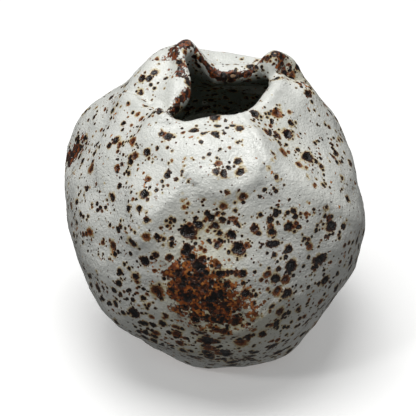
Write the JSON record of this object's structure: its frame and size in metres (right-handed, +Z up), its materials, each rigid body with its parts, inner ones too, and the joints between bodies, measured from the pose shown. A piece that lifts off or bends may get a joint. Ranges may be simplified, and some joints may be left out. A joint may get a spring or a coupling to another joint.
{
  "type": "bud vase",
  "caption": "Hand-pinched round stoneware bud vase with a folded rim, speckled satin glaze and a dry foot.",
  "frame": {"origin": "middle of the flat foot, on the surface that the pot stands on", "axes": "+Z up; -Y is the front, where the lip is lowest; +X is the right side seen from the front"},
  "size_m": [0.088, 0.089, 0.0884],
  "materials": {
    "stoneware": "matt",
    "speckled_glaze": "satin",
    "liner_glaze": "satin"
  },
  "bodies": {
    "root": {"clay_body": "stoneware", "outer_glaze": "speckled_glaze", "inner_glaze": "liner_glaze"}
  },
  "joints": []
}
